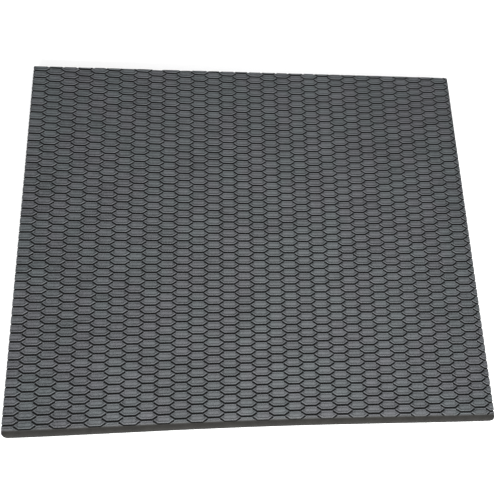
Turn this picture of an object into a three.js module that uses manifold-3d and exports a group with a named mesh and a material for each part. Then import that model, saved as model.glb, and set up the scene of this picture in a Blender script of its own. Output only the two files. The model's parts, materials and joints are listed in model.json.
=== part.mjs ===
// Seedling heat mat: a moulded rubber tread sheet laid over an electric heating layer, with a
// rubber base sheet, bonded edge strips, and a flush junction box let into the underside.
//
// Millimetres, +Z up. The origin is the middle of the mat's box, on the surface it lies on.
// +X is the mat's right, -Y its front, and the cord leaves the rear edge, on the left.

import * as THREE from 'three';
import { mergeVertices } from 'three/addons/utils/BufferGeometryUtils.js';
import Module from 'manifold-3d';

const wasm = await Module();
wasm.setup();

// ---------------------------------------------------------------- driving dimensions

const GAP = 0.3; // clearance between pieces that touch or are bonded

// Outline. The mat is cut slightly out of square: its left side is a little the shorter.
const WIDTH = 490;
const DEPTH = 400;
const HEIGHT = 12;
const LEFT_TAPER = 2.5; // how much shorter the left side is, at each of its ends
const CORNER_RADIUS = { frontLeft: 6.5, frontRight: 7, rearRight: 3, rearLeft: 1 };

// Moulded lips and walls of the tread sheet, and the strips that close its two cut sides.
const FRONT_LIP = 10;
const RIGHT_LIP = 5.5;
const FRONT_WALL = 14;
const RIGHT_WALL = 12;
const STRIP_WIDTH = 14;

// Layers, from the underside up.
const BASE_TOP = 2;
const FOAM = [2.3, 4.5];
const REFLECTOR = [4.8, 5.0];
const SCRIM = [5.3, 5.5];
const WIRE_HEIGHT = 6.7;
const SCREEN = [8.2, 8.4];
const SHEET_UNDERSIDE = 8.7;
const STRIP_TOP = SHEET_UNDERSIDE - GAP;
const LAYER_MARGIN = 0.6; // from a layer's edge to the wall or strip beside it

// Heating wire.
const WIRE_RADIUS = 0.9;
const RUN_PITCH = 27.5;
const RUN_COUNT = 14; // an even number, so that the last run ends at the rear
const RUN_REAR = 172;
const RUN_FRONT = -165;
const RETURN_FRONT = -180; // the run back along the front edge
const LEFT_RUN_PITCH = 21;
const WIRE_BEND = 10;

// Junction box, in the underside by the rear edge. Its own frame has +Y towards the rear edge,
// with y = 0 on that edge.
const JUNCTION_X = -166;
const GLAND = { width: 24, depth: 13.6, recess: 0.4, ribDepth: 3, ribReach: 1.5, ribInset: 5.5 };
const BORE_RADIUS = 2.95; // for a round cord of 5.2 mm with its sheath
const BORE_HEIGHT = 4.35;
const TRAY = { width: 48, depth: 40, bottom: 0.2, wall: 1.6, ledge: 2, ledgeHeight: 3, roof: 7.2 };
const TRAY_REAR = -STRIP_WIDTH - 0.8; // clear of the strips, which follow the skewed edge
const TRAY_MIDDLE = TRAY_REAR - TRAY.depth / 2;
const TRAY_FRONT = TRAY_REAR - TRAY.depth;
const LID_TOP = 1.8;
const GASKET = [2.1, 2.7];
const LID_SCREW = { x: 17.5, y: 13.5, radius: 1.1, head: 2.3, headHeight: 1.2, length: 5.6 };
const LEAD_RADIUS = 0.9;
const LEAD_HEIGHT = 5; // at the terminals
const TERMINAL_PITCH = 8.4;
const WIRE_END_X = 14; // the wire's two ends, either side of the junction's middle
const SPLICE = { from: -94, to: -84, inner: 1.1, outer: 1.45 };
const WIRE_END_Y = SPLICE.from + 4; // the wire reaches this far into its splice
const BAY = { width: 60.6, front: -98 }; // notch in the layers for leads, splices and cut-out
const TERMINAL = { width: 5.4, depth: 8.4, bottom: 3.3, top: 6.2 };
const TERMINAL_BODY = { depth: 11.6, bottom: 3.0, top: 6.8 };
const TERMINAL_SCREW = { y: 2.6, radius: 0.9, length: 1.2 };
const CUTOUT = { width: 7.6, from: -82, to: -66, bottom: 4.2, top: 7.8 };
const EARTH_TAG = { y: -74, bottom: 7.5, top: 7.9, radius: 3, hole: 1.4, neck: 6.4 };

// ---------------------------------------------------------------- materials

const material = (color, roughness, metalness = 0) =>
  new THREE.MeshStandardMaterial({ color, roughness, metalness });

const materials = {
  treadRubber: material(0x3c3d3f, 0.72),
  baseRubber: material(0x2b2b2c, 0.85),
  foam: material(0xc9cbc8, 0.95),
  foil: material(0xc4c6c8, 0.28, 1),
  scrim: material(0xe4e2da, 0.8),
  wire: material(0xa8352c, 0.5),
  nylon: material(0x232425, 0.6),
  seal: material(0x1f2021, 0.8),
  terminalNylon: material(0xdedbd0, 0.55),
  brass: material(0xb5924c, 0.35, 1),
  steel: material(0xa9abad, 0.35, 1),
  brownLead: material(0x5d3520, 0.5),
  blueLead: material(0x2c4f8e, 0.5),
  earthLead: material(0x4f8a35, 0.5),
};

// ---------------------------------------------------------------- solids

function toManifold(geometry) {
  const bare = geometry.clone();
  bare.deleteAttribute('normal');
  bare.deleteAttribute('uv');
  const merged = mergeVertices(bare, 1e-4);
  return new wasm.Manifold(new wasm.Mesh({
    numProp: 3,
    vertProperties: new Float32Array(merged.attributes.position.array),
    triVerts: new Uint32Array(merged.index.array),
  }));
}

function toGeometry(solid) {
  const mesh = solid.getMesh();
  const geometry = new THREE.BufferGeometry();
  geometry.setAttribute('position', new THREE.BufferAttribute(mesh.vertProperties, 3));
  geometry.setIndex(new THREE.BufferAttribute(mesh.triVerts, 1));
  const flat = geometry.toNonIndexed();
  flat.computeVertexNormals();
  return flat;
}

const combine = (method, first, others) =>
  toGeometry(others.map(toManifold).reduce((solid, other) => solid[method](other), toManifold(first)));
const cut = (first, ...others) => combine('subtract', first, others);
const join = (first, ...others) => combine('add', first, others);
const keepInside = (first, ...others) => combine('intersect', first, others);

// A flat outline, as a Shape or a list of [x, y], raised between two heights.
function prism(outline, bottom, top) {
  const shape = outline instanceof THREE.Shape
    ? outline
    : new THREE.Shape(outline.map(([x, y]) => new THREE.Vector2(x, y)));
  const geometry = new THREE.ExtrudeGeometry(shape, {
    depth: top - bottom, bevelEnabled: false, curveSegments: 6,
  });
  return geometry.translate(0, 0, bottom);
}

const block = (width, depth, bottom, top, x = 0, y = 0) =>
  new THREE.BoxGeometry(width, depth, top - bottom).translate(x, y, (bottom + top) / 2);

const disc = (radius, bottom, top, x = 0, y = 0, sides = 16) =>
  new THREE.CylinderGeometry(radius, radius, top - bottom, sides)
    .rotateX(Math.PI / 2)
    .translate(x, y, (bottom + top) / 2);

// A round bar along Y.
const rodY = (radius, from, to, x, z, sides = 16) =>
  new THREE.CylinderGeometry(radius, radius, to - from, sides).translate(x, (from + to) / 2, z);

// A solid turned about Z from [radius, height] points that start and end on the axis.
const turned = (profile, sides = 16) =>
  new THREE.LatheGeometry(profile.map(([r, z]) => new THREE.Vector2(r, z)), sides)
    .rotateX(Math.PI / 2);

// A curve through stations that are not evenly spaced: straight runs have only their ends.
class StationCurve extends THREE.Curve {
  constructor(stations) {
    super();
    this.stations = stations;
    this.arcLengthDivisions = stations.length;
  }

  getUtoTmapping(u) {
    return u;
  }

  between(t, key) {
    const place = t * (this.stations.length - 1);
    const index = Math.min(Math.floor(place), this.stations.length - 2);
    const [a, b] = [this.stations[index][key], this.stations[index + 1][key]];
    return a.clone().lerp(b, place - index);
  }

  getPoint(t) {
    return this.between(t, 'point');
  }

  getTangent(t) {
    return this.between(t, 'tangent').normalize();
  }
}

// A path along straight lines at one height, with its corners rounded.
function roundedPath(corners, height, radiusAt, stepsPerBend = 4) {
  const points = corners.map(([x, y]) => new THREE.Vector3(x, y, height));
  const stations = [];
  points.forEach((corner, i) => {
    if (i === 0 || i === points.length - 1) {
      const [a, b] = i === 0 ? [corner, points[1]] : [points[i - 1], corner];
      stations.push({ point: corner, tangent: b.clone().sub(a).normalize() });
      return;
    }
    const inward = corner.clone().sub(points[i - 1]).normalize();
    const outward = points[i + 1].clone().sub(corner).normalize();
    const radius = radiusAt(points[i - 1], corner, points[i + 1]);
    const centre = corner.clone().addScaledVector(inward, -radius).addScaledVector(outward, radius);
    for (let step = 0; step <= stepsPerBend; step += 1) {
      const angle = (Math.PI / 2) * (step / stepsPerBend);
      stations.push({
        point: centre.clone()
          .addScaledVector(outward, -radius * Math.cos(angle))
          .addScaledVector(inward, radius * Math.sin(angle)),
        tangent: inward.clone().multiplyScalar(Math.cos(angle))
          .addScaledVector(outward, Math.sin(angle)),
      });
    }
  });
  return stations.filter((station, i) =>
    i === 0 || station.point.distanceTo(stations[i - 1].point) > 0.01);
}

function tube(curve, radius, steps, sides = 8) {
  const section = new THREE.Shape();
  for (let i = 0; i < sides; i += 1) {
    const angle = (2 * Math.PI * i) / sides;
    const [x, y] = [radius * Math.cos(angle), radius * Math.sin(angle)];
    if (i === 0) section.moveTo(x, y);
    else section.lineTo(x, y);
  }
  return new THREE.ExtrudeGeometry(section, { extrudePath: curve, steps, bevelEnabled: false });
}

// ---------------------------------------------------------------- outline of the mat

// Corners in anticlockwise order: front left, front right, rear right, rear left.
const outlineCorners = [
  new THREE.Vector2(-WIDTH / 2, -DEPTH / 2 + LEFT_TAPER),
  new THREE.Vector2(WIDTH / 2, -DEPTH / 2),
  new THREE.Vector2(WIDTH / 2, DEPTH / 2),
  new THREE.Vector2(-WIDTH / 2, DEPTH / 2 - LEFT_TAPER),
];

const rearEdgeY = (x) => {
  const [right, left] = [outlineCorners[2], outlineCorners[3]];
  return left.y + ((right.y - left.y) * (x - left.x)) / (right.x - left.x);
};

function meet(a, aAlong, b, bAlong) {
  const t = b.clone().sub(a).cross(bAlong) / aAlong.cross(bAlong);
  return a.clone().addScaledVector(aAlong, t);
}

// The four corners with each side moved inwards by its own distance.
function insetCorners({ front = 0, right = 0, rear = 0, left = 0 }) {
  const sides = [front, right, rear, left].map((distance, i) => {
    const along = outlineCorners[(i + 1) % 4].clone().sub(outlineCorners[i]).normalize();
    const inward = new THREE.Vector2(-along.y, along.x);
    return { along, start: outlineCorners[i].clone().addScaledVector(inward, distance) };
  });
  return sides.map((side, i) => {
    const before = sides[(i + 3) % 4];
    return meet(before.start, before.along, side.start, side.along);
  });
}

const inset = (distances) => insetCorners(distances).map((corner) => corner.toArray());

// The outline with each corner rounded to its own radius.
function roundedOutline() {
  const radii = [CORNER_RADIUS.frontLeft, CORNER_RADIUS.frontRight,
    CORNER_RADIUS.rearRight, CORNER_RADIUS.rearLeft];
  const shape = new THREE.Shape();
  outlineCorners.forEach((corner, i) => {
    const inward = corner.clone().sub(outlineCorners[(i + 3) % 4]).normalize();
    const outward = outlineCorners[(i + 1) % 4].clone().sub(corner).normalize();
    const turn = Math.acos(inward.dot(outward));
    const reach = radii[i] * Math.tan(turn / 2);
    const start = corner.clone().addScaledVector(inward, -reach);
    const centre = start.clone().add(new THREE.Vector2(-inward.y, inward.x).multiplyScalar(radii[i]));
    const from = Math.atan2(start.y - centre.y, start.x - centre.x);
    if (i === 0) shape.moveTo(start.x, start.y);
    else shape.lineTo(start.x, start.y);
    shape.absarc(centre.x, centre.y, radii[i], from, from + turn, false);
  });
  shape.closePath();
  return shape;
}

// Takes the sharp top edge off the side between two corners, leaving a quarter-round lip.
function lipCutter(from, to, radius) {
  const along = to.clone().sub(from).normalize();
  const inward = new THREE.Vector2(-along.y, along.x);
  const over = 2;
  const profile = new THREE.Shape();
  profile.moveTo(-over, HEIGHT - radius);
  profile.lineTo(0, HEIGHT - radius);
  profile.absarc(radius, HEIGHT - radius, radius, Math.PI, Math.PI / 2, true);
  profile.lineTo(radius, HEIGHT + over);
  profile.lineTo(-over, HEIGHT + over);
  const length = to.distanceTo(from) + 2 * over;
  const geometry = new THREE.ExtrudeGeometry(profile, {
    depth: length, bevelEnabled: false, curveSegments: 8,
  });
  const start = from.clone().addScaledVector(along, -over);
  const place = new THREE.Matrix4().makeBasis(
    new THREE.Vector3(inward.x, inward.y, 0),
    new THREE.Vector3(0, 0, 1),
    new THREE.Vector3(along.x, along.y, 0),
  ).setPosition(start.x, start.y, 0);
  return geometry.applyMatrix4(place);
}

// ---------------------------------------------------------------- rubber shell

function topCover() {
  const [frontLeft, frontRight, rearRight] = outlineCorners;
  const beyond = -5;
  const pocket = inset({ front: FRONT_WALL, right: RIGHT_WALL, rear: beyond, left: beyond });
  return cut(
    prism(roundedOutline(), 0, HEIGHT),
    lipCutter(frontLeft, frontRight, FRONT_LIP),
    lipCutter(frontRight, rearRight, RIGHT_LIP),
    prism(pocket, -1, SHEET_UNDERSIDE),
  );
}

function leftEdgeStrip() {
  const [outerFront, , , outerRear] = inset({ front: FRONT_WALL + GAP });
  const [innerFront, , , innerRear] = inset({ front: FRONT_WALL + GAP, left: STRIP_WIDTH });
  const strip = [outerFront, innerFront, innerRear, outerRear];
  return keepInside(prism(strip, 0, STRIP_TOP), prism(roundedOutline(), -1, HEIGHT));
}

// The rear strip stops either side of the cord gland, with a slot in each end for its rib.
function rearEdgeStrip(side) {
  const inner = { rear: STRIP_WIDTH, right: RIGHT_WALL + GAP, left: STRIP_WIDTH + GAP };
  const outer = { ...inner, rear: 0 };
  const [, , innerRight, innerLeft] = inset(inner);
  const [, , outerRight, outerLeft] = inset(outer);
  const band = prism([innerLeft, innerRight, outerRight, outerLeft], 0, STRIP_TOP);
  const reach = WIDTH;
  const glandEnd = GLAND.width / 2 + GAP;
  const rear = rearEdgeY(JUNCTION_X);
  const beyondGland = block(reach, 4 * STRIP_WIDTH, -1, HEIGHT,
    JUNCTION_X + side * (glandEnd + reach / 2), rear);
  const slot = block(2 * (GLAND.ribReach + GAP), GLAND.ribDepth + 2 * GAP, -1, HEIGHT,
    JUNCTION_X + side * glandEnd, rear - GLAND.recess - GLAND.ribInset - GLAND.ribDepth / 2);
  return cut(keepInside(band, beyondGland), slot);
}

// ---------------------------------------------------------------- layers

// A layer that fills the pocket, with a notch in its rear edge as wide and deep as given.
function layer([bottom, top], notchWidth, notchFront) {
  const sheet = prism(inset({
    front: FRONT_WALL + LAYER_MARGIN,
    right: RIGHT_WALL + LAYER_MARGIN,
    rear: STRIP_WIDTH + LAYER_MARGIN,
    left: STRIP_WIDTH + LAYER_MARGIN,
  }), bottom, top);
  const depth = -notchFront;
  const notch = block(notchWidth, depth, bottom - 1, top + 1,
    JUNCTION_X, rearEdgeY(JUNCTION_X) - depth / 2);
  return cut(sheet, notch);
}

const trayNotch = { width: TRAY.width + 2 * GAP, front: TRAY_FRONT - GAP };

function earthScreen() {
  const rivetY = rearEdgeY(JUNCTION_X) + EARTH_TAG.y;
  const rivetHole = disc(EARTH_TAG.hole, 0, HEIGHT, JUNCTION_X, rivetY, 12);
  return cut(layer(SCREEN, trayNotch.width, trayNotch.front), rivetHole);
}

// The wire goes down and up in even runs, back along the right and front edges, and through two
// more runs on the left, so that both its ends meet the junction box.
function heatingWire() {
  const endY = rearEdgeY(JUNCTION_X) + WIRE_END_Y;
  const firstRun = JUNCTION_X + WIRE_END_X;
  const lastRun = JUNCTION_X - WIRE_END_X;
  const corners = [[firstRun, endY]];
  for (let run = 0; run < RUN_COUNT - 1; run += 1) {
    const y = run % 2 === 0 ? RUN_FRONT : RUN_REAR;
    corners.push([firstRun + run * RUN_PITCH, y], [firstRun + (run + 1) * RUN_PITCH, y]);
  }
  const rightRun = firstRun + (RUN_COUNT - 1) * RUN_PITCH;
  const returnRun = rightRun + RUN_PITCH / 2;
  corners.push(
    [rightRun, RUN_REAR], [returnRun, RUN_REAR],
    [returnRun, RETURN_FRONT], [lastRun - 2 * LEFT_RUN_PITCH, RETURN_FRONT],
    [lastRun - 2 * LEFT_RUN_PITCH, RUN_REAR], [lastRun - LEFT_RUN_PITCH, RUN_REAR],
    [lastRun - LEFT_RUN_PITCH, RUN_FRONT], [lastRun, RUN_FRONT],
    [lastRun, endY],
  );
  // Half the shorter side that meets the corner is the most that a bend can use.
  const radiusAt = (before, corner, after) => Math.min(
    WIRE_BEND, corner.distanceTo(before) / 2, corner.distanceTo(after) / 2,
  );
  const stations = roundedPath(corners, WIRE_HEIGHT, radiusAt, 3);
  return tube(new StationCurve(stations), WIRE_RADIUS, stations.length - 1, 6);
}

// ---------------------------------------------------------------- junction box

function cordGland() {
  const rear = -GLAND.recess;
  const front = rear - GLAND.depth;
  const ribY = rear - GLAND.ribInset - GLAND.ribDepth / 2;
  const body = join(
    block(GLAND.width, GLAND.depth, 0, STRIP_TOP, 0, (rear + front) / 2),
    block(GLAND.width + 2 * GLAND.ribReach, GLAND.ribDepth, 0, STRIP_TOP, 0, ribY),
  );
  return cut(body, rodY(BORE_RADIUS, front - 1, rear + 1, 0, BORE_HEIGHT, 24));
}

const screwPlaces = [[-1, -1], [1, -1], [1, 1], [-1, 1]].map(([sx, sy]) =>
  [sx * LID_SCREW.x, TRAY_MIDDLE + sy * LID_SCREW.y]);
const terminalXs = [-TERMINAL_PITCH, 0, TERMINAL_PITCH];

function junctionTray() {
  const { width, depth, bottom, wall, ledge, ledgeHeight, roof } = TRAY;
  const rim = 2 * wall;
  const shelf = rim + 2 * ledge;
  const shell = cut(
    block(width, depth, bottom, STRIP_TOP, 0, TRAY_MIDDLE),
    block(width - rim, depth - rim, -1, ledgeHeight, 0, TRAY_MIDDLE),
    block(width - shelf, depth - shelf, -1, roof, 0, TRAY_MIDDLE),
  );
  const bosses = screwPlaces.map(([x, y]) => disc(3, ledgeHeight, roof + GAP, x, y, 16));
  const pilots = screwPlaces.map(([x, y]) => disc(LID_SCREW.radius + GAP, 0, roof - GAP, x, y, 12));
  const coreSlot = block(7.5, 6, 3.6, 6.2, 0, TRAY_REAR - 2);
  const leadHoles = terminalXs.map((x) =>
    rodY(LEAD_RADIUS + GAP, TRAY_FRONT - 1, TRAY_FRONT + wall + ledge + 1, x, LEAD_HEIGHT, 12));
  return cut(join(shell, ...bosses), ...pilots, coreSlot, ...leadHoles);
}

function junctionLid() {
  const clear = 2 * (TRAY.wall + GAP);
  const plate = block(TRAY.width - clear, TRAY.depth - clear, TRAY.bottom, LID_TOP, 0, TRAY_MIDDLE);
  const sinks = screwPlaces.map(([x, y]) => disc(LID_SCREW.head + GAP, -1, TRAY.bottom
    + LID_SCREW.headHeight + GAP, x, y, 20));
  const holes = screwPlaces.map(([x, y]) => disc(LID_SCREW.radius + GAP, 0, LID_TOP + 1, x, y, 12));
  return cut(plate, ...sinks, ...holes);
}

function lidGasket() {
  const clear = 2 * (TRAY.wall + GAP);
  const band = 3.4;
  const [bottom, top] = GASKET;
  const ring = cut(
    block(TRAY.width - clear, TRAY.depth - clear, bottom, top, 0, TRAY_MIDDLE),
    block(TRAY.width - clear - band, TRAY.depth - clear - band, 0, HEIGHT, 0, TRAY_MIDDLE),
  );
  const clearances = screwPlaces.map(([x, y]) => disc(LID_SCREW.radius + GAP, 0, HEIGHT, x, y, 12));
  return cut(ring, ...clearances);
}

// Pan-headed screw, head down, with a cross recess. Its underside is at z = 0.
function lidScrew() {
  const { radius, head, headHeight, length } = LID_SCREW;
  const body = turned([
    [0, 0], [head * 0.8, 0], [head, headHeight * 0.35], [head, headHeight],
    [radius, headHeight], [radius, length - 0.6], [radius * 0.4, length], [0, length],
  ]);
  const arm = [2.4, 0.6, -1, 0.7];
  return cut(body, block(...arm), block(arm[1], arm[0], arm[2], arm[3]));
}

// Terminal strip: three brass blocks in a nylon body that is open underneath.
function terminalBody() {
  const { depth, bottom, top } = TERMINAL_BODY;
  const width = 3 * TERMINAL_PITCH + 2;
  const cavities = terminalXs.map((x) => block(TERMINAL.width + 2 * GAP, TERMINAL.depth + 2 * GAP,
    0, TERMINAL.top + GAP, x, 0));
  const entries = terminalXs.map((x) => rodY(LEAD_RADIUS + GAP, -depth, depth, x, LEAD_HEIGHT, 12));
  return cut(block(width, depth, bottom, top), ...cavities, ...entries);
}

function terminal() {
  const { width, depth, bottom, top } = TERMINAL;
  const screwBores = [-1, 1].map((side) =>
    disc(TERMINAL_SCREW.radius + GAP, 0, LEAD_HEIGHT, 0, side * TERMINAL_SCREW.y, 12));
  return cut(block(width, depth, bottom, top),
    rodY(LEAD_RADIUS + GAP - 0.1, -depth, depth, 0, LEAD_HEIGHT, 12), ...screwBores);
}

function terminalScrew() {
  const { radius, length } = TERMINAL_SCREW;
  return cut(disc(radius, 0, length, 0, 0, 12), block(3, 0.4, -1, 0.5));
}

// A lead from its terminal, through the tray's front wall, up to the height of the wire.
function lead(x, endX, endY, endHeight) {
  const start = TRAY_MIDDLE - 1;
  const inside = TRAY_FRONT + 1;
  const outside = TRAY_FRONT - 2;
  const path = new THREE.CatmullRomCurve3([
    new THREE.Vector3(x, start, LEAD_HEIGHT),
    new THREE.Vector3(x, inside, LEAD_HEIGHT),
    new THREE.Vector3(x, outside, LEAD_HEIGHT),
    new THREE.Vector3((x + endX) / 2, outside - 3.5, (LEAD_HEIGHT + endHeight) / 2),
    new THREE.Vector3(endX, outside - 7, endHeight),
    new THREE.Vector3(endX, endY, endHeight),
  ], false, 'centripetal');
  return tube(path, LEAD_RADIUS, 20, 8);
}

const splice = () => {
  const { from, to, inner, outer } = SPLICE;
  return cut(
    rodY(outer, from, to, 0, WIRE_HEIGHT, 16),
    rodY(inner, from - 1, to + 1, 0, WIRE_HEIGHT, 16),
  );
};

// Over-temperature cut-out in the live lead: a flat metal case with a folded end.
function thermalCutout() {
  const { width, from, to, bottom, top } = CUTOUT;
  const middle = (from + to) / 2;
  const height = top - bottom;
  const section = new THREE.Shape();
  const corner = 0.8;
  section.moveTo(-width / 2 + corner, 0);
  section.lineTo(width / 2 - corner, 0);
  section.lineTo(width / 2, corner);
  section.lineTo(width / 2, height - corner);
  section.lineTo(width / 2 - corner, height);
  section.lineTo(-width / 2 + corner, height);
  section.lineTo(-width / 2, height - corner);
  section.lineTo(-width / 2, corner);
  const body = new THREE.ExtrudeGeometry(section, { depth: to - from, bevelEnabled: false })
    .rotateX(Math.PI / 2)
    .translate(0, to, bottom);
  const endCap = block(width - 1.6, 1.6, bottom + 0.5, top - 0.5, 0, to + 0.5);
  const crimpLine = block(width + 2, 0.5, top - 0.3, top + 1, 0, middle + 6);
  return cut(join(body, endCap), crimpLine);
}


function earthTag() {
  const { y, bottom, top, radius, hole, neck } = EARTH_TAG;
  const eye = disc(radius, bottom, top, 0, y, 20);
  const barrel = block(2.6, neck - 1, bottom, top, 0, y + (neck + 1) / 2);
  return cut(join(eye, barrel), disc(hole, 0, HEIGHT, 0, y, 12));
}

function earthRivet() {
  const shank = EARTH_TAG.hole - GAP;
  const head = EARTH_TAG.bottom - GAP / 2;
  const top = SCREEN[1];
  return turned([
    [0, head - 0.8], [1.7, head - 0.8], [2.2, head - 0.4], [2.2, head], [shank, head], [shank, top], [0, top],
  ], 12).translate(0, EARTH_TAG.y, 0);
}

// ---------------------------------------------------------------- assembly

function part(name, geometry, partMaterial, position = [0, 0, 0]) {
  const mesh = new THREE.Mesh(geometry, partMaterial);
  mesh.name = name;
  mesh.position.set(...position);
  return mesh;
}

const mat = new THREE.Group();
mat.name = 'seedling_heat_mat';
mat.add(
  part('top_cover', topCover(), materials.treadRubber),
  part('base_sheet', layer([0, BASE_TOP], trayNotch.width, trayNotch.front), materials.baseRubber),
  part('left_edge_strip', leftEdgeStrip(), materials.treadRubber),
  part('rear_edge_strip_left', rearEdgeStrip(-1), materials.treadRubber),
  part('rear_edge_strip_right', rearEdgeStrip(1), materials.treadRubber),
  part('insulation_foam', layer(FOAM, BAY.width, BAY.front), materials.foam),
  part('reflector_foil', layer(REFLECTOR, BAY.width, BAY.front), materials.foil),
  part('carrier_scrim', layer(SCRIM, BAY.width, BAY.front), materials.scrim),
  part('heating_wire', heatingWire(), materials.wire),
  part('earth_screen', earthScreen(), materials.foil),
);

const junction = new THREE.Group();
junction.name = 'junction';
junction.position.set(JUNCTION_X, rearEdgeY(JUNCTION_X), 0);
junction.add(
  part('cord_gland', cordGland(), materials.seal),
  part('junction_tray', junctionTray(), materials.nylon),
  part('junction_lid', junctionLid(), materials.nylon),
  part('lid_gasket', lidGasket(), materials.seal),
  part('terminal_body', terminalBody(), materials.terminalNylon, [0, TRAY_MIDDLE, 0]),
);
screwPlaces.forEach(([x, y], i) => {
  junction.add(part(`lid_screw_${i + 1}`, lidScrew(), materials.steel, [x, y, TRAY.bottom]));
});
['live', 'earth', 'neutral'].forEach((pole, i) => {
  junction.add(part(`terminal_${pole}`, terminal(), materials.brass, [terminalXs[i], TRAY_MIDDLE, 0]));
  [['cord', 1], ['mat', -1]].forEach(([end, side]) => {
    junction.add(part(`terminal_screw_${pole}_${end}`, terminalScrew(), materials.steel,
      [terminalXs[i], TRAY_MIDDLE + side * TERMINAL_SCREW.y, TERMINAL.bottom - 0.4]));
  });
});
const spliceReach = 4;
junction.add(
  part('cold_lead_live', lead(-TERMINAL_PITCH, -WIRE_END_X, CUTOUT.to + 1.6, WIRE_HEIGHT - 0.8),
    materials.brownLead),
  part('cold_lead_neutral', lead(TERMINAL_PITCH, WIRE_END_X, SPLICE.to - spliceReach, WIRE_HEIGHT),
    materials.blueLead),
  part('earth_lead', lead(0, 0, EARTH_TAG.y + EARTH_TAG.neck - 3, EARTH_TAG.bottom - LEAD_RADIUS - GAP / 2), materials.earthLead),
  part('thermal_cutout', thermalCutout(), materials.steel, [-WIRE_END_X, 0, 0]),
  part('splice_live', splice(), materials.brass, [-WIRE_END_X, 0, 0]),
  part('splice_neutral', splice(), materials.brass, [WIRE_END_X, 0, 0]),
  part('earth_tag', earthTag(), materials.brass),
  part('earth_rivet', earthRivet(), materials.brass),
);
mat.add(junction);

export default mat;
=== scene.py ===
"""Looks of the seedling heat mat: tread, rubber, junction box, floor, light and camera."""

import json
import math

import bmesh
import bpy
import numpy as np
from mathutils import Matrix, Vector


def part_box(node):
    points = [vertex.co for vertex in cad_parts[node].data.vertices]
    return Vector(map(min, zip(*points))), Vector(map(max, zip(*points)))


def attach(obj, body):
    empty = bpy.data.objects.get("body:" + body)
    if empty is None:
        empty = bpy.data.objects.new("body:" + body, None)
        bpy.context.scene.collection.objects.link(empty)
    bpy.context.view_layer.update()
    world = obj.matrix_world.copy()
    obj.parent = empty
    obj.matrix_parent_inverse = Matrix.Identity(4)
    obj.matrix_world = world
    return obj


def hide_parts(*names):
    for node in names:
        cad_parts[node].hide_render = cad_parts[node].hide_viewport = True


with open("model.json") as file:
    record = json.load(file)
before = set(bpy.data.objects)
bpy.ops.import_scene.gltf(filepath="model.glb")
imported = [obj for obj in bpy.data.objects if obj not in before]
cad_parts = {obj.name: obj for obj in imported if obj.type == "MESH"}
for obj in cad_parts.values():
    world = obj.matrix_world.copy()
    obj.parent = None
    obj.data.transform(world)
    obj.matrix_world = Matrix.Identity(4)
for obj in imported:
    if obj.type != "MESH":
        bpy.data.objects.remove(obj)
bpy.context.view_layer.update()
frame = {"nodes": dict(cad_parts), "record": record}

MM = 0.001
BODY = "root"

# ---------------------------------------------------------------- sizes, from the frame

LOW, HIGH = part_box("top_cover")
WIDTH = HIGH.x - LOW.x
DEPTH = HIGH.y - LOW.y
TOP = HIGH.z
UNDERSIDE = LOW.z
SCREEN_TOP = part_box("earth_screen")[1].z
SHEET_UNDERSIDE = SCREEN_TOP + 0.3 * MM  # just clear of the screen
FRONT_WALL = 14 * MM  # thickness of the walls below the sheet at the front and the right
RIGHT_WALL = 12 * MM
LEFT_TAPER = 2.5 * MM  # the left side is shorter by this much at each end
CORNER_RADII = (6.5 * MM, 7 * MM, 3 * MM, 1 * MM)  # front left, front right, rear right, rear left
CORNER_STEPS = 6  # a corner is rounded in this many turns

# Tread: columns of pads along the width, every other column half a row further on. Each pad ends
# at the front in a cup-shaped groove, a flat with two arms; a bridge of rubber parts an arm's end
# from the next cup, so that the pads hang together at their tips.
PITCH = WIDTH / 30.356
ROW = 0.5308 * PITCH
TREAD_TURN = math.radians(-0.51)  # the pattern is turned a little on the sheet
TREAD_ORIGIN = Vector((-0.7939, -1.2549)) * PITCH  # centre of one pad, from the sheet's middle
SPARE_COLUMNS = 3  # looked through beyond half of the sheet, as that pad is off the middle
SPARE_ROWS = 4
CUP_HALF = 0.341 * PITCH  # half of a cup's flat
ARM_END = Vector((0.604 * PITCH, -0.189 * ROW))
BRIDGE = (Vector((0.623 * PITCH, -0.164 * ROW)), Vector((0.644 * PITCH, -0.064 * ROW)))

# The rows are bowed: straight at BOW_CENTRE, and more and more curved away from it.
BOW_CENTRE = 45 * MM
BOW_SLOPE = 0.0091

# The outline of a pad's right half has nine points: the end of its own cup's flat (0), along the
# arm (1) and the bridge (2, 3) to the tip (4), which ends the neighbour's flat, and along the
# neighbour's arm (5) and bridge (6, 7) to the flat of the pad behind (8). Where a ring keeps fewer
# points, its list gives the kept point that takes each one's place.
ALL_POINTS = (0, 1, 2, 3, 4, 5, 6, 7, 8)
SLOPE_POINTS = (0, 1, 2, 2, 4, 5, 6, 6, 8)
RIDGE_POINTS = (0, 4, 4, 4, 4, 5, 5, 8, 8)
CROWN_POINTS = (0, 4, 4, 4, 4, 8, 8, 8, 8)
BRIDGE_POINTS = (2, 3, 6, 7)
BRIDGE_DEPTH = 0.15  # of the depth beside it

# Rings of a pad from its edge inwards: distance from the groove's middle and depth below the crown
# in millimetres, how worn the rubber is there with painted light on top (a painted highlight on the
# ridge and the crown, painted shade in the channel between them), and which of the outline's points
# the ring keeps.
PAD_RINGS = (
    (0.00, 2.00, 0.0, ALL_POINTS),
    (0.60, 0.78, 0.0, SLOPE_POINTS),
    (0.98, 0.25, 1.0, RIDGE_POINTS),
    (1.45, 0.00, 1.5, RIDGE_POINTS),
    (2.25, 0.30, -0.9, CROWN_POINTS),
    (3.70, 0.00, 0.9, CROWN_POINTS),
)
GROOVE_DEPTH = PAD_RINGS[0][1] * MM
LOOP_SIZE = 2 * len(ALL_POINTS)  # points of a pad's outermost ring

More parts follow.
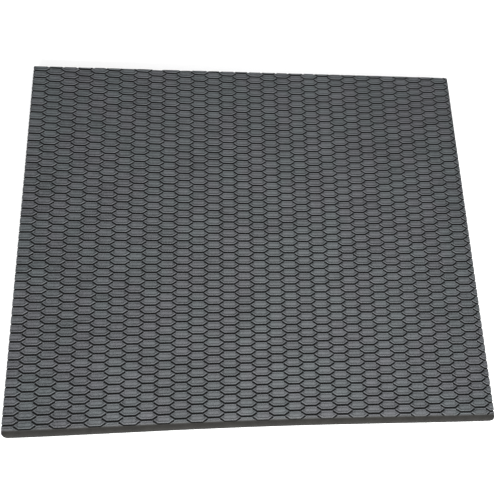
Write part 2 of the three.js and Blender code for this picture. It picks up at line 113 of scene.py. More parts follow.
# The kept points at two distances in, in millimetres from the pad's centre. The rings lie on the
# lines from the outline to the shoulder and from the shoulder to the heart.
SHOULDER_INSET = 1.0
SHOULDER = {
    0: (5.22, -3.28), 1: (9.23, -0.77), 2: (9.50, -0.60), 4: (9.75, -0.35),
    5: (5.87, 1.81), 6: (5.49, 2.38), 8: (5.05, 3.28),
}
HEART_INSET = 3.7
HEART = {0: (4.46, -0.58), 4: (5.65, 0.0), 5: (4.40, 0.40), 8: (3.85, 0.58)}

# Small differences from pad to pad.
PAD_SEED = 7
PAD_LIFT = 0.03 * MM
PAD_LEAN = 0.006

PAD_WELD = 0.05 * MM  # neighbouring pads' points nearer than this are one

# Edges of the tread sheet.
RIGHT_LIP = 5.5 * MM  # radii of the rounded right, rear and left edges
CUT_EDGE = 0.8 * MM
RIM_START = 10.0 * MM  # the pads begin to fall away towards the front rim
RIM_FLAT = 5.8 * MM  # here they have come down to the rim
RIM_DROP = 1.1 * MM  # how far the rim lies below the pads
RIM_FACE = 4 * MM  # height of the straight part of the front face

# How the edges are cut: how near them, and into how many slices.
BORDER = 30 * MM
RIM_SLICES = 9
RAMP_SLICES = 5  # from RIM_FLAT to RIM_START
LIP_SLICES = 7
EDGE_SLICES = 4
CUT_TOLERANCE = 1e-7
TREAD_SHARP = math.radians(38)  # the sheet is shaded smooth up to this angle

# Camera, from the middle of the mat's top.
CAMERA_PLACE = Vector((-0.0580, -0.1403, 0.4966))
CAMERA_AIM = Vector((-0.0064, -0.0171, 0.0))
CAMERA_TURN = math.radians(-1.605)
CAMERA_LENS = 34.68
CAMERA_SENSOR = 36.0

# Colours of the tread.
PAD_DARK = (0.002, 0.003, 0.004)
PAD_LIGHT = (0.080, 0.086, 0.092)
REDDER = (1.045, 0.99, 1.02)  # slight tints, multiplied on
GREENER = (0.95, 1.012, 0.99)
RIM_DARK = (0.008, 0.0075, 0.006)
RIM_LIGHT = (0.015, 0.014, 0.012)
# Near black of the grooves: darker unbloomed rubber, and painted shade in the recesses.
GROOVE_SHADE_BLACK = (0.002, 0.002, 0.002)

NOISE_LOW, NOISE_HIGH = 0.3, 0.7  # most of a noise texture's values lie between these
WORLD_STRENGTH = 0.54
FLOOR_HALF = 3.0  # half of the floor's width


# ---------------------------------------------------------------- node helpers

def new_material(name, color, roughness, metallic=0.0, specular=0.5):
    """A material, its tree and its shader."""
    material = bpy.data.materials.new(name)
    material.use_nodes = True
    tree = material.node_tree
    shader = tree.nodes["Principled BSDF"]
    shader.inputs["Base Color"].default_value = (*color, 1)
    shader.inputs["Roughness"].default_value = roughness
    shader.inputs["Metallic"].default_value = metallic
    shader.inputs["Specular IOR Level"].default_value = specular
    return material, tree, shader


def add_node(tree, kind, inputs=None, **settings):
    node = tree.nodes.new(kind)
    for key, value in settings.items():
        setattr(node, key, value)
    for key, value in (inputs or {}).items():
        if isinstance(value, bpy.types.NodeSocket):
            tree.links.new(value, node.inputs[key])
        else:
            node.inputs[key].default_value = value
    return node


def object_coordinates(tree, scale=(1, 1, 1)):
    coordinates = add_node(tree, "ShaderNodeTexCoord")
    inputs = {"Vector": coordinates.outputs["Object"], "Scale": scale}
    return add_node(tree, "ShaderNodeMapping", inputs).outputs["Vector"]


def noise(tree, vector, size, detail=3.0, roughness=0.55):
    """Noise whose blotches are about size metres across."""
    inputs = {"Vector": vector, "Scale": 1 / size, "Detail": detail, "Roughness": roughness}
    return add_node(tree, "ShaderNodeTexNoise", inputs).outputs["Fac"]


def point_value(tree, name):
    """A value that the mesh carries at its points."""
    return add_node(tree, "ShaderNodeAttribute", attribute_name=name).outputs["Fac"]


def maths(tree, operation, *values):
    node = add_node(tree, "ShaderNodeMath", operation=operation)
    for socket, value in zip(node.inputs, values):
        if isinstance(value, bpy.types.NodeSocket):
            tree.links.new(value, socket)
        else:
            socket.default_value = value
    return node.outputs[0]


def remap(tree, value, low, high, to_low, to_high):
    inputs = {"Value": value, "From Min": low, "From Max": high, "To Min": to_low, "To Max": to_high}
    return add_node(tree, "ShaderNodeMapRange", inputs).outputs["Result"]


def swing(tree, value, reach, middle=0.0):
    """Noise turned into a value that swings by reach about a middle."""
    return remap(tree, value, NOISE_LOW, NOISE_HIGH, middle - reach, middle + reach)


def mix_colors(tree, factor, first, second, blend="MIX"):
    node = add_node(tree, "ShaderNodeMix", data_type="RGBA", blend_type=blend)
    for key, value in (("Factor", factor), ("A", first), ("B", second)):
        socket = next(s for s in node.inputs if s.name == key and s.enabled)
        if isinstance(value, bpy.types.NodeSocket):
            tree.links.new(value, socket)
        else:
            socket.default_value = value if key == "Factor" else (*value, 1)
    return next(s for s in node.outputs if s.enabled)


def bump(tree, shader, height, distance, strength=1.0, after=None):
    inputs = {"Height": height, "Distance": distance, "Strength": strength}
    if after is not None:
        inputs["Normal"] = after
    node = add_node(tree, "ShaderNodeBump", inputs)
    tree.links.new(node.outputs["Normal"], shader.inputs["Normal"])
    return node.outputs["Normal"]


# ---------------------------------------------------------------- materials

def tread_rubber():
    """Moulded rubber: bloomed grainy pads with painted highlights on their ridges and crowns,
    near-black grooves whose darkness is partly painted shade, and a smooth brownish rim.
    """
    material, tree, shader = new_material("tread_rubber", (0.06, 0.063, 0.066), 0.55, specular=0.4)
    place = object_coordinates(tree)
    grain = noise(tree, place, 1.3 * MM, 3.0, 0.65)
    fine = noise(tree, place, 0.4 * MM, 2.0)
    patches = noise(tree, place, 55 * MM, 3.0)
    bloom = noise(tree, place, 9 * MM, 3.0, 0.6)
    tone = point_value(tree, "pad_tone")
    groove = point_value(tree, "groove")
    wear_and_painted_light = point_value(tree, "wear_and_painted_light")
    rim = point_value(tree, "rim")

    # How much the grain, patches, bloom, a pad's own tone, and how worn it is together with painted
    # light (a painted highlight on ridge and crown, painted shade in the channel) lighten the rubber.
    spread = swing(tree, grain, 0.44)
    for part in (swing(tree, patches, 0.08), swing(tree, bloom, 0.10),
                 remap(tree, tone, 0.0, 1.0, -0.12, 0.12), maths(tree, "MULTIPLY", wear_and_painted_light, 0.52)):
        spread = maths(tree, "ADD", spread, part)
    rubber = mix_colors(tree, remap(tree, spread, -0.75, 0.75, 0.0, 1.0), PAD_DARK, PAD_LIGHT)
    cast = remap(tree, noise(tree, place, 26 * MM, 1.0), 0.35, 0.65, 0.0, 1.0)
    rubber = mix_colors(tree, 1.0, rubber, mix_colors(tree, cast, REDDER, GREENER), "MULTIPLY")

    bare = mix_colors(tree, remap(tree, bloom, NOISE_LOW, NOISE_HIGH, 0.0, 1.0), RIM_DARK, RIM_LIGHT)
    rubber = mix_colors(tree, remap(tree, rim, 0.2, 0.9, 0.0, 1.0), rubber, bare)
    # The grooves are coloured near black by their depth: darker unbloomed rubber, with painted shade in
    # the recesses.
    black = remap(tree, groove, 0.13, 0.23, 0.0, 1.0)
    tree.links.new(mix_colors(tree, black, rubber, GROOVE_SHADE_BLACK), shader.inputs["Base Color"])

    gloss = maths(tree, "ADD", swing(tree, grain, 0.08, 0.5), swing(tree, bloom, 0.04))
    gloss = maths(tree, "SUBTRACT", gloss, maths(tree, "MULTIPLY", wear_and_painted_light, 0.06))
    gloss = maths(tree, "MAXIMUM", gloss, maths(tree, "MULTIPLY", rim, 0.88))
    tree.links.new(maths(tree, "MAXIMUM", gloss, black), shader.inputs["Roughness"])
    coarse = bump(tree, shader, grain, 0.35 * MM, 0.9)
    bump(tree, shader, fine, 0.06 * MM, 0.6, coarse)
    return material


def plain_rubber(name, dark, light, grain_size, roughness):
    """Flat-moulded or extruded rubber with a matt, slightly mottled face."""
    material, tree, shader = new_material(name, light, roughness)
    place = object_coordinates(tree)
    grain = noise(tree, place, grain_size, 3.0)
    patches = noise(tree, place, 40 * MM, 3.0)
    factor = remap(tree, maths(tree, "ADD", grain, patches), 0.7, 1.3, 0.0, 1.0)
    tree.links.new(mix_colors(tree, factor, dark, light), shader.inputs["Base Color"])
    tree.links.new(swing(tree, patches, 0.06, roughness), shader.inputs["Roughness"])
    bump(tree, shader, grain, 0.15 * MM, 0.7)
    return material


def moulded_plastic(name, color, roughness):
    """Spark-textured injection moulding."""
    material, tree, shader = new_material(name, color, roughness)
    place = object_coordinates(tree)
    grain = noise(tree, place, 0.5 * MM, 2.0)
    cloud = noise(tree, place, 14 * MM, 2.0)
    darker = tuple(0.85 * c for c in color)
    tree.links.new(mix_colors(tree, cloud, darker, color), shader.inputs["Base Color"])
    tree.links.new(swing(tree, grain, 0.07, roughness), shader.inputs["Roughness"])
    bump(tree, shader, grain, 0.04 * MM, 0.6)
    return material


def brushed_metal(name, color, roughness, stretch=(1, 14, 1)):
    """Rolled or turned metal with fine lines and a little tarnish."""
    material, tree, shader = new_material(name, color, roughness, metallic=1.0)
    lines = noise(tree, object_coordinates(tree, stretch), 1.5 * MM, 4.0)
    tarnish = noise(tree, object_coordinates(tree), 6 * MM, 3.0)
    duller = tuple(0.72 * c for c in color)
    tree.links.new(mix_colors(tree, remap(tree, tarnish, 0.35, 0.7, 0, 1), color, duller),
                   shader.inputs["Base Color"])
    tree.links.new(swing(tree, lines, 0.10, roughness + 0.02), shader.inputs["Roughness"])
    bump(tree, shader, lines, 0.02 * MM, 0.5)
    return material


def cell_foam():
    """Closed-cell foam with its cut cells showing."""
    material, tree, shader = new_material("foam", (0.62, 0.63, 0.6), 0.9)
    cells = add_node(tree, "ShaderNodeTexVoronoi",
                     {"Vector": object_coordinates(tree), "Scale": 1 / (0.9 * MM)})
    shade = remap(tree, cells.outputs["Distance"], 0.0, 0.6, 0.0, 1.0)
    tree.links.new(mix_colors(tree, shade, (0.66, 0.67, 0.64), (0.48, 0.49, 0.47)),
                   shader.inputs["Base Color"])
    bump(tree, shader, cells.outputs["Distance"], 0.15 * MM, 0.8)
    return material


def glass_scrim():
    """Plain weave of glass-fibre yarn."""
    material, tree, shader = new_material("scrim", (0.75, 0.74, 0.7), 0.55)
    place = object_coordinates(tree)
    inputs = {"Vector": place, "Scale": 1 / (4 * MM), "Distortion": 0.3}
    yarns = [add_node(tree, "ShaderNodeTexWave", inputs, bands_direction=axis) for axis in ("X", "Y")]
    weave = maths(tree, "MAXIMUM", *(yarn.outputs["Fac"] for yarn in yarns))
    tree.links.new(mix_colors(tree, weave, (0.45, 0.44, 0.41), (0.8, 0.79, 0.75)),
                   shader.inputs["Base Color"])
    bump(tree, shader, weave, 0.1 * MM, 0.8)
    return material


MATERIALS = {
    "tread_rubber": tread_rubber(),
    "edge_rubber": plain_rubber(
        "edge_rubber", dark=(0.03, 0.03, 0.031), light=(0.062, 0.062, 0.064),
        grain_size=1.4 * MM, roughness=0.62,
    ),
    "base_rubber": plain_rubber(
        "base_rubber", dark=(0.022, 0.022, 0.023), light=(0.045, 0.045, 0.047),
        grain_size=0.8 * MM, roughness=0.7,
    ),
    "seal_rubber": plain_rubber(
        "seal_rubber", dark=(0.012, 0.012, 0.013), light=(0.026, 0.026, 0.028),
        grain_size=0.6 * MM, roughness=0.55,
    ),
    "foam": cell_foam(),
    "scrim": glass_scrim(),
    "foil": brushed_metal("foil", (0.78, 0.79, 0.8), 0.26),
    "brass": brushed_metal("brass", (0.72, 0.53, 0.24), 0.3, stretch=(1, 1, 8)),
    "steel": brushed_metal("steel", (0.6, 0.61, 0.62), 0.32, stretch=(8, 8, 1)),
    "wire": moulded_plastic("wire", (0.42, 0.05, 0.035), 0.45),
    "black_nylon": moulded_plastic("black_nylon", (0.018, 0.018, 0.02), 0.5),
    "white_nylon": moulded_plastic("white_nylon", (0.72, 0.7, 0.64), 0.45),
    "brown_lead": moulded_plastic("brown_lead", (0.11, 0.035, 0.013), 0.4),
    "blue_lead": moulded_plastic("blue_lead", (0.025, 0.08, 0.3), 0.4),
    "earth_green": moulded_plastic("earth_green", (0.08, 0.28, 0.04), 0.4),
}
SLOT_OF = {part["node"]: part["material_slot"] for part in frame["record"]["subparts"]}


def finish_piece(piece, slot, *nodes):
    """Places a made piece on the mat's body and lets it stand for its CAD nodes."""
    piece.data.materials.clear()
    piece.data.materials.append(MATERIALS[slot])
    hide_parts(*nodes)
    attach(piece, BODY)
    return piece


def link_mesh(name, mesh):
    piece = bpy.data.objects.new(name, mesh)
    bpy.context.scene.collection.objects.link(piece)
    return piece


# ---------------------------------------------------------------- outline

CORNERS = [
    Vector((LOW.x, LOW.y + LEFT_TAPER)), Vector((HIGH.x, LOW.y)),
    Vector((HIGH.x, HIGH.y)), Vector((LOW.x, HIGH.y - LEFT_TAPER)),
]


def sides():
    """(point, inward normal) of the front, right, rear and left sides."""
    found = []
    for corner, following in zip(CORNERS, CORNERS[1:] + CORNERS[:1]):
        along = (following - corner).normalized()
        found.append((corner, Vector((-along.y, along.x))))
    return found


FRONT, RIGHT, REAR, LEFT = sides()


def distance_from(side, x, y):
    """How far inside a side a point is; x and y may be arrays."""
    corner, inward = side
    return (x - corner.x) * inward.x + (y - corner.y) * inward.y


def corner_planes():
    """(point, inward normal) of the flats that round the outline's corners."""
    planes = []
    for index, radius in enumerate(CORNER_RADII):
        before, after = sides()[index - 1], sides()[index]
        centre = meet(before, radius, after, radius)
        start = math.atan2(-before[1].y, -before[1].x)
        turn = (math.atan2(-after[1].y, -after[1].x) - start) % (2 * math.pi)
        for step in range(1, CORNER_STEPS):
            angle = start + turn * step / CORNER_STEPS
            outward = Vector((math.cos(angle), math.sin(angle)))
            planes.append((centre + outward * radius, -outward))
    return planes


def meet(first, first_inset, second, second_inset):
    """The point that lies inside two sides by an inset from each."""
    (a, n), (b, m) = first, second
    reach = Vector((n.dot(a) + first_inset, m.dot(b) + second_inset))
    return Matrix(((n.x, n.y), (m.x, m.y))).inverted() @ reach


# ---------------------------------------------------------------- tread

def bow(x, y):
    """How far the tread is drawn towards its middle row, rearwards where positive."""
    return BOW_SLOPE * (BOW_CENTRE - y) * (1 - np.clip(2 * x / WIDTH, -1, 1) ** 2) ** 2


def pad_outline(inset):
    """Points of a pad's right half by number, about its centre, inset from its grooves."""
    if inset == 0:
        half = ROW / 2
        cup = [Vector((CUP_HALF, -half)), ARM_END, *BRIDGE]
        edge = cup + [Vector((PITCH - p.x, p.y + half)) for p in cup] + [Vector((CUP_HALF, half))]
        return dict(enumerate(edge))
    shoulder = {index: Vector(point) * MM for index, point in SHOULDER.items()}
    if inset < SHOULDER_INSET:
        edge = pad_outline(0)
        share = inset / SHOULDER_INSET
        return {index: edge[index].lerp(point, share) for index, point in shoulder.items()}
    share = (inset - SHOULDER_INSET) / (HEART_INSET - SHOULDER_INSET)
    return {index: shoulder[index].lerp(Vector(point) * MM, share) for index, point in HEART.items()}


def pad_template():
    """One pad about its centre: points with depths, how worn each is together with its painted light
    and shade, and faces.
    """
    points, wear_and_painted_light_values, faces, loops = [], [], [], []
    for inset, depth, wear_and_painted_light, kept in PAD_RINGS:
        half = pad_outline(inset)
        loop, found = [], {}
        for side, order in ((1, ALL_POINTS), (-1, ALL_POINTS[::-1])):
            for index in order:
                use = kept[index]
                if (side, use) not in found:
                    found[side, use] = len(points)
                    lowered = depth * (BRIDGE_DEPTH if use in BRIDGE_POINTS else 1)
                    points.append((side * half[use].x, half[use].y, -lowered * MM))
                    wear_and_painted_light_values.append(wear_and_painted_light)
                loop.append(found[side, use])
        loops.append(loop)
    for outer, inner in zip(loops, loops[1:]):
        for i in range(len(outer)):
            j = (i + 1) % len(outer)
            face = list(dict.fromkeys((outer[i], outer[j], inner[j], inner[i])))
            if len(face) > 2:
                faces.append(face)
    a, b, c, d, e, f = dict.fromkeys(loops[-1])
    faces += [(a, b, c, d), (d, e, f, a)]
    return np.array(points), np.array(wear_and_painted_light_values), faces


def pad_centres():
    """Centres, in the pattern's own directions, of every pad that may reach the outline."""
    centres = []
    across = int(WIDTH / PITCH / 2) + SPARE_COLUMNS
    along = int(DEPTH / ROW / 2) + SPARE_ROWS
    for column in range(-across, across + 1):
        for row in range(-along, along + 1):
            centre = Vector((column * PITCH, (row + 0.5 * (column % 2)) * ROW))
            place = TREAD_ORIGIN + centre
            if abs(place.x) < WIDTH / 2 + PITCH and abs(place.y) < DEPTH / 2 + 2 * ROW:
                centres.append(centre)
    return np.array(centres)


def pad_field():
    """A sheet of pads that covers the outline: points, faces, and at each point how worn it is with its
    painted light and shade, and its tone.

    Heights are depths below the pads' crowns, so that cutting the sheet keeps them. Bowing towards
    the rear comes here; bowing towards the front comes after the edges are cut.
    """
    chance = np.random.default_rng(PAD_SEED)
    pad, wear_and_painted_light, pad_faces = pad_template()
    centres = pad_centres()
    count, size = len(centres), len(pad)
    lift = chance.normal(0, PAD_LIFT, count)
    lean = chance.normal(0, PAD_LEAN, (count, 2))
    tone = chance.uniform(size=count)
    spots = np.repeat(pad[None], count, axis=0)
    settle = lift[:, None] + spots[:, :, 0] * lean[:, :1] + spots[:, :, 1] * lean[:, 1:]
    settle[:, :LOOP_SIZE] = 0  # the grooves stay level
    spots[:, :, 2] = np.minimum(spots[:, :, 2] + settle, 0)
    spots[:, :, :2] += centres[:, None]
    spots = spots.reshape(-1, 3)
    key = np.round(spots[:, :2] / PAD_WELD).astype(int)
    key = np.column_stack([key, np.tile(np.arange(size), count)])
    key[(np.arange(len(key)) % size) < LOOP_SIZE, 2] = -1  # neighbours share their edges
    _, first, index = np.unique(key, axis=0, return_index=True, return_inverse=True)
    index = index.ravel()
    turn = np.array(Matrix.Rotation(TREAD_TURN, 2))
    flat = spots[first, :2] @ turn.T + np.array(TREAD_ORIGIN)
    flat[:, 1] += np.minimum(bow(flat[:, 0], flat[:, 1]), 0)
    points = np.column_stack([flat, spots[first, 2]])
    faces = [[index[n * size + i] for i in face] for n in range(count) for face in pad_faces]
    return points, faces, np.tile(wear_and_painted_light, count)[first], np.repeat(tone, size)[first]


def cut_sheet(sheet, geom, point, outward, clear=False):
    """Cuts new edges into part of the sheet along a line, and may clear what lies beyond it."""
    result = bmesh.ops.bisect_plane(
        sheet, geom=geom, dist=CUT_TOLERANCE, plane_co=(*point, 0), plane_no=(*outward, 0),
        clear_outer=clear,
    )
    return result["geom"]


def rounded(distance, radius):
    """How far a rounded edge has dropped at a distance in from it."""
    inside = np.clip(radius - distance, 0, radius)
    return radius - np.sqrt(radius**2 - inside**2)


def ease(value):
    """A smooth step from 0 to 1."""
    value = np.clip(value, 0, 1)
    return value * value * (3 - 2 * value)


def front_rim(distance):
    """Height of the smooth front rim: a straight face, then rounded over to lie just below the pads."""
    level = TOP - RIM_DROP
    inside = np.clip(1 - distance / RIM_FLAT, 0, 1)
    return level - (level - RIM_FACE) * (1 - np.sqrt(1 - inside**2))


def shape_sheet(sheet):
    """Turns depths into heights, rounds the edges and draws the front edge in."""
    co = np.array([v.co for v in sheet.verts])
    x, y, depth = co[:, 0], co[:, 1], -co[:, 2]
    front = distance_from(FRONT, x, y)
    rim = 1 - ease((front - RIM_FLAT) / (RIM_START - RIM_FLAT))
    # Towards the rim the pads are planed down and the grooves run out.
    depth = np.maximum(depth - RIM_DROP * rim, 0) * (1 - rim**4)
    height = np.where(front < RIM_FLAT, front_rim(front), TOP - RIM_DROP * rim) - depth
    height = height - rounded(distance_from(RIGHT, x, y), RIGHT_LIP)
    for side in (REAR, LEFT):
        height = height - rounded(distance_from(side, x, y), CUT_EDGE)
    y = y + np.maximum(bow(x, y), 0)
    groove_layer = sheet.verts.layers.float.new("groove")
    rim_layer = sheet.verts.layers.float.new("rim")
    for index, vert in enumerate(sheet.verts):
        vert.co = (x[index], y[index], height[index])
        vert[groove_layer] = depth[index] / GROOVE_DEPTH
        vert[rim_layer] = rim[index]


def edge_loop(sheet):
    """The sheet's open edge as vertices in order, anticlockwise from above."""
    open_edges = [e for e in sheet.edges if e.is_boundary]
    following = {}
    for edge in open_edges:
        loop = edge.link_loops[0]
        following[loop.vert] = loop.link_loop_next.vert
    start = next(iter(following))
    order, vert = [start], following[start]
    while vert is not start:
        order.append(vert)
        vert = following[vert]
    return order


def close_underside(sheet):
    """Walls down to the underside at the front and right, and the pocket's roof and walls."""
    order = edge_loop(sheet)
    inner = meet(FRONT, FRONT_WALL, RIGHT, RIGHT_WALL)
    wall_ends = (meet(FRONT, FRONT_WALL, LEFT, 0), meet(RIGHT, RIGHT_WALL, REAR, 0))
    ends = [closest(order, spot) for spot in wall_ends]
    start, stop = (order.index(v) for v in ends)
    order = order[start:] + order[:start]
    stop = (stop - start) % len(order)
    lip_side, cut_side = order[:stop + 1], order[stop:] + order[:1]

    def skirt(chain, z):
        lows = [sheet.verts.new((v.co.x, v.co.y, z)) for v in chain]
        quads = []
        for i in range(len(chain) - 1):
            quads.append(sheet.faces.new((chain[i + 1], chain[i], lows[i], lows[i + 1])))
        return lows, quads

    lip_lows, lip_quads = skirt(lip_side, UNDERSIDE)
    cut_lows, _ = skirt(cut_side, SHEET_UNDERSIDE)
    roof = sheet.verts.new((*inner, SHEET_UNDERSIDE))
    foot = sheet.verts.new((*inner, UNDERSIDE))
    # The wall's two ends have the sheet's underside half-way up them.
    first, last = lip_quads[0], lip_quads[-1]
    bmesh.ops.delete(sheet, geom=[first, last], context="FACES_ONLY")
    sheet.faces.new((lip_side[1], lip_side[0], cut_lows[-1], lip_lows[0], lip_lows[1]))
    sheet.faces.new((lip_side[-1], lip_side[-2], lip_lows[-2], lip_lows[-1], cut_lows[0]))
    sheet.faces.new((lip_lows[-1], foot, roof, cut_lows[0]))
    sheet.faces.new((cut_lows[-1], roof, foot, lip_lows[0]))
    underside = [
        sheet.faces.new([roof] + cut_lows[::-1]),
        sheet.faces.new([foot] + lip_lows[::-1]),
    ]
    bmesh.ops.triangulate(sheet, faces=underside)
    spare = [e for e in sheet.edges if not e.link_faces]
    bmesh.ops.delete(sheet, geom=spare, context="EDGES")


def closest(verts, spot):
    return min(verts, key=lambda v: (v.co.xy - spot).length)


def round_cuts(radius, count):
    """Distances in from an edge where the slices that round it are cut."""
    return [radius * (1 - math.cos(math.pi / 2 * step / count)) for step in range(1, count + 1)]


def cut_border(sheet):
    """Cuts the sheet to the outline, and slices its border where its edges are rounded."""
    faces = [f for f in sheet.faces
             if any(distance_from(side, *f.verts[0].co.xy) < BORDER for side in sides())]
    geom = list(dict.fromkeys(e for f in faces for e in (*f.verts, *f.edges))) + faces
    for point, inward in sides() + corner_planes():
        geom = cut_sheet(sheet, geom, point, -inward, clear=True)
    ramp_width = RIM_START - RIM_FLAT
    ramp_cuts = [RIM_FLAT + ramp_width * step / RAMP_SLICES for step in range(1, RAMP_SLICES + 1)]
    edge_cuts = round_cuts(CUT_EDGE, EDGE_SLICES)
    for (point, inward), distances in (
        (FRONT, round_cuts(RIM_FLAT, RIM_SLICES) + ramp_cuts + [FRONT_WALL]),
        (RIGHT, round_cuts(RIGHT_LIP, LIP_SLICES) + [RIGHT_WALL]),
        (REAR, edge_cuts),
        (LEFT, edge_cuts),
    ):
        for distance in distances:
            geom = cut_sheet(sheet, geom, point + inward * distance, -inward)
    bmesh.ops.delete(sheet, geom=[v for v in sheet.verts if not v.link_faces], context="VERTS")


def make_tread():
    points, faces, wear_and_painted_light, tone = pad_field()
    mesh = bpy.data.meshes.new("tread_cover")
    mesh.from_pydata(points, [], faces)
    # How worn each point is, together with painted light: a painted highlight on the pads' ridges and
    # crowns, painted shade in their channels.
    for name, values in (("wear_and_painted_light", wear_and_painted_light), ("pad_tone", tone)):
        mesh.attributes.new(name, "FLOAT", "POINT").data.foreach_set("value", values)
    sheet = bmesh.new()
    sheet.from_mesh(mesh)
    cut_border(sheet)
    shape_sheet(sheet)
    close_underside(sheet)
    bmesh.ops.recalc_face_normals(sheet, faces=sheet.faces)
    bmesh.ops.triangulate(sheet, faces=sheet.faces)
    sheet.to_mesh(mesh)
    sheet.free()
    mesh.shade_smooth()
    mesh.set_sharp_from_angle(angle=TREAD_SHARP)
    finish_piece(link_mesh("tread_cover", mesh), "tread_rubber", "top_cover")


# ---------------------------------------------------------------- other pieces

# Bevel of each moulded or turned piece's edges.
MOULDED = {
    "left_edge_strip": 0.7 * MM, "rear_edge_strip_left": 0.7 * MM, "rear_edge_strip_right": 0.7 * MM,
    "cord_gland": 0.5 * MM, "junction_tray": 0.25 * MM, "junction_lid": 0.35 * MM,
    "lid_screw_1": 0.15 * MM, "lid_screw_2": 0.15 * MM, "lid_screw_3": 0.15 * MM,
    "lid_screw_4": 0.15 * MM, "terminal_body": 0.3 * MM, "thermal_cutout": 0.3 * MM,
}
SHARP = math.radians(40)  # edges sharper than this are rounded and shaded sharp
FLAT_ANGLE = math.radians(0.5)  # faces this near to one plane are joined
TINY = 0.001 * MM  # points nearer than this are one

# Anti-slip ribs across the base sheet's underside.
RIB_PITCH = 6 * MM
RIB_GAP = 2.2 * MM  # width of the floor between two ribs
RIB_FLANK = 0.5 * MM
RIB_HEIGHT = 0.6 * MM
RIB_MARGIN = 7 * MM  # plain border at the front and rear
RIB_TOUCH = 0.01 * MM  # points this near the underside lie on it

SCRIM_CELL = 15 * MM
SCRIM_WAVE = 0.04 * MM
SCRIM_TURNS = (131, 147)  # radians of the wave in a metre, across and along
FOAM_EDGE = 0.7 * MM


def copy_solid(node):
    """The node's mesh, with its flat faces whole, for a new piece to start from."""
    solid = bmesh.new()
    solid.from_mesh(frame["nodes"][node].data)
    bmesh.ops.remove_doubles(solid, verts=solid.verts, dist=TINY)
    bmesh.ops.dissolve_limit(solid, angle_limit=FLAT_ANGLE, verts=solid.verts, edges=solid.edges)
    return solid


def piece_from(solid, name, slot, *nodes):
    """Makes a finished solid into a piece."""
    bmesh.ops.triangulate(solid, faces=solid.faces)
    bmesh.ops.recalc_face_normals(solid, faces=solid.faces)
    mesh = bpy.data.meshes.new(name)
    solid.to_mesh(mesh)
    solid.free()
    mesh.shade_smooth()
    mesh.set_sharp_from_angle(angle=SHARP)
    return finish_piece(link_mesh(name, mesh), slot, *nodes)


def round_edges(solid, width):
    edges = [e for e in solid.edges if e.is_manifold and e.calc_face_angle() > SHARP]
    bmesh.ops.bevel(solid, geom=edges, offset=width, segments=2, profile=0.5,
                    affect="EDGES", clamp_overlap=True)
    bmesh.ops.dissolve_degenerate(solid, dist=TINY, edges=solid.edges)


def slice_solid(solid, point, normal):
    """Cuts new edges right across a solid, along a line seen from above."""
    cut_sheet(solid, solid.verts[:] + solid.edges[:] + solid.faces[:], point, normal)


def make_mouldings():
    for node, width in MOULDED.items():
        solid = copy_solid(node)
        round_edges(solid, width)
        piece_from(solid, node + "_moulding", SLOT_OF[node], node)


def make_base():
    """The base sheet, with ribs across its underside."""
    solid = copy_solid("base_sheet")
    bmesh.ops.triangulate(solid, faces=solid.faces)
    low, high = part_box("base_sheet")
    count = int((high.y - low.y - 2 * RIB_MARGIN) / RIB_PITCH)
    start = (low.y + high.y - count * RIB_PITCH) / 2
    floors = [start + (rib + 0.5) * RIB_PITCH for rib in range(count)]
    rib_edge = RIB_GAP / 2 + RIB_FLANK
    for middle in floors:
        for reach in (-rib_edge, -RIB_GAP / 2, RIB_GAP / 2, rib_edge):
            slice_solid(solid, (0, middle + reach), (0, 1))
    for vert in solid.verts:
        if vert.co.z < low.z + RIB_TOUCH:
            away = min(abs(vert.co.y - middle) for middle in floors)
            vert.co.z += RIB_HEIGHT * min(max((rib_edge - away) / RIB_FLANK, 0), 1)
    base = piece_from(solid, "ribbed_base", "base_rubber", "base_sheet")
    base.data.shade_flat()  # smooth shading would blur across the long triangles


def make_foam():
    solid = copy_solid("insulation_foam")
    round_edges(solid, FOAM_EDGE)
    foam = piece_from(solid, "foam_layer", "foam", "insulation_foam")


def make_scrim():
    """Glass scrim laid on the foil, very slightly wavy."""
    solid = copy_solid("carrier_scrim")
    bmesh.ops.triangulate(solid, faces=solid.faces)
    low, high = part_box("carrier_scrim")
    for axis, normal in ((0, (1, 0)), (1, (0, 1))):
        steps = round((high[axis] - low[axis]) / SCRIM_CELL)
        for step in range(1, steps):
            place = [0, 0]
            place[axis] = low[axis] + (high[axis] - low[axis]) * step / steps
            slice_solid(solid, place, normal)
    for vert in solid.verts:
        across, along = vert.co.x * SCRIM_TURNS[0], vert.co.y * SCRIM_TURNS[1]
        vert.co.z += SCRIM_WAVE * math.sin(across) * math.sin(along)
    scrim = piece_from(solid, "glass_scrim", "scrim", "carrier_scrim")


def dress_cad_nodes():
    for name, node in frame["nodes"].items():
        node.data.materials.clear()
        node.data.materials.append(MATERIALS[SLOT_OF[name]])


# ---------------------------------------------------------------- floor, light, camera

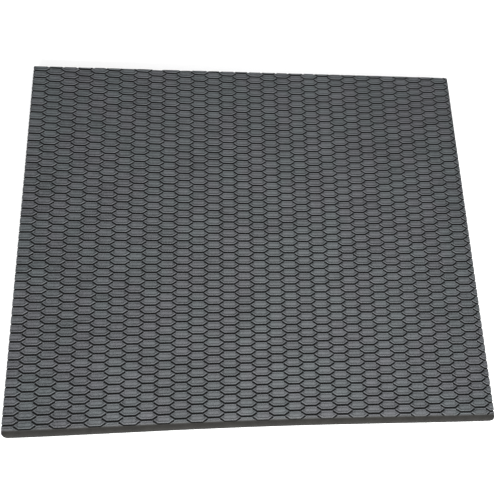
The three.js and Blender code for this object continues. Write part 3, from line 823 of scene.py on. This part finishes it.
def make_floor():
    mesh = bpy.data.meshes.new("floor")
    corners = [(x * FLOOR_HALF, y * FLOOR_HALF, 0) for x, y in ((-1, -1), (1, -1), (1, 1), (-1, 1))]
    mesh.from_pydata(corners, [], [(0, 1, 2, 3)])
    floor = link_mesh("floor", mesh)
    floor.location.z = UNDERSIDE - 0.1 * MM
    material, tree, shader = new_material("floor", (0.97, 0.97, 0.97), 0.8)
    shade = noise(tree, object_coordinates(tree), 0.6, 2.0)
    tree.links.new(mix_colors(tree, shade, (0.96, 0.96, 0.96), (0.985, 0.985, 0.985)),
                   shader.inputs["Base Color"])
    mesh.materials.append(material)


def add_area_light(name, place, aim, size, power):
    light = bpy.data.lights.new(name, "AREA")
    light.shape = "RECTANGLE"
    light.size, light.size_y = size
    light.energy = power
    lamp = bpy.data.objects.new(name, light)
    lamp.location = place
    lamp.rotation_euler = (Vector(aim) - Vector(place)).to_track_quat("-Z", "Y").to_euler()
    bpy.context.scene.collection.objects.link(lamp)


def make_lights():
    world = bpy.data.worlds.new("studio")
    bpy.context.scene.world = world
    world.use_nodes = True
    background = world.node_tree.nodes["Background"]
    background.inputs["Color"].default_value = (1, 1, 1, 1)
    background.inputs["Strength"].default_value = WORLD_STRENGTH
    add_area_light("overhead", place=(0.16, 0.02, 1.2), aim=(0, 0, 0), size=(0.6, 0.5), power=9)
    add_area_light("front", place=(0.05, -0.78, 0.57), aim=(0, -0.05, 0), size=(1.0, 0.2), power=12)
    bpy.context.scene.view_settings.view_transform = "Standard"


def make_camera():
    camera = bpy.data.cameras.new("camera")
    camera.lens = CAMERA_LENS
    camera.sensor_width = CAMERA_SENSOR
    camera.clip_start = 10 * MM
    top_middle = Vector(((LOW.x + HIGH.x) / 2, (LOW.y + HIGH.y) / 2, TOP))
    forward = (CAMERA_AIM - CAMERA_PLACE).normalized()
    level = Vector((-math.sin(CAMERA_TURN), math.cos(CAMERA_TURN), 0))
    right = forward.cross(level).normalized()
    up = right.cross(forward)
    holder = bpy.data.objects.new("camera", camera)
    turn = Matrix((right, up, -forward)).transposed().to_4x4()
    holder.matrix_world = Matrix.Translation(top_middle + CAMERA_PLACE) @ turn
    bpy.context.scene.collection.objects.link(holder)
    bpy.context.scene.camera = holder


make_camera()
dress_cad_nodes()
make_tread()
make_mouldings()
make_base()
make_foam()
make_scrim()
make_floor()
make_lights()
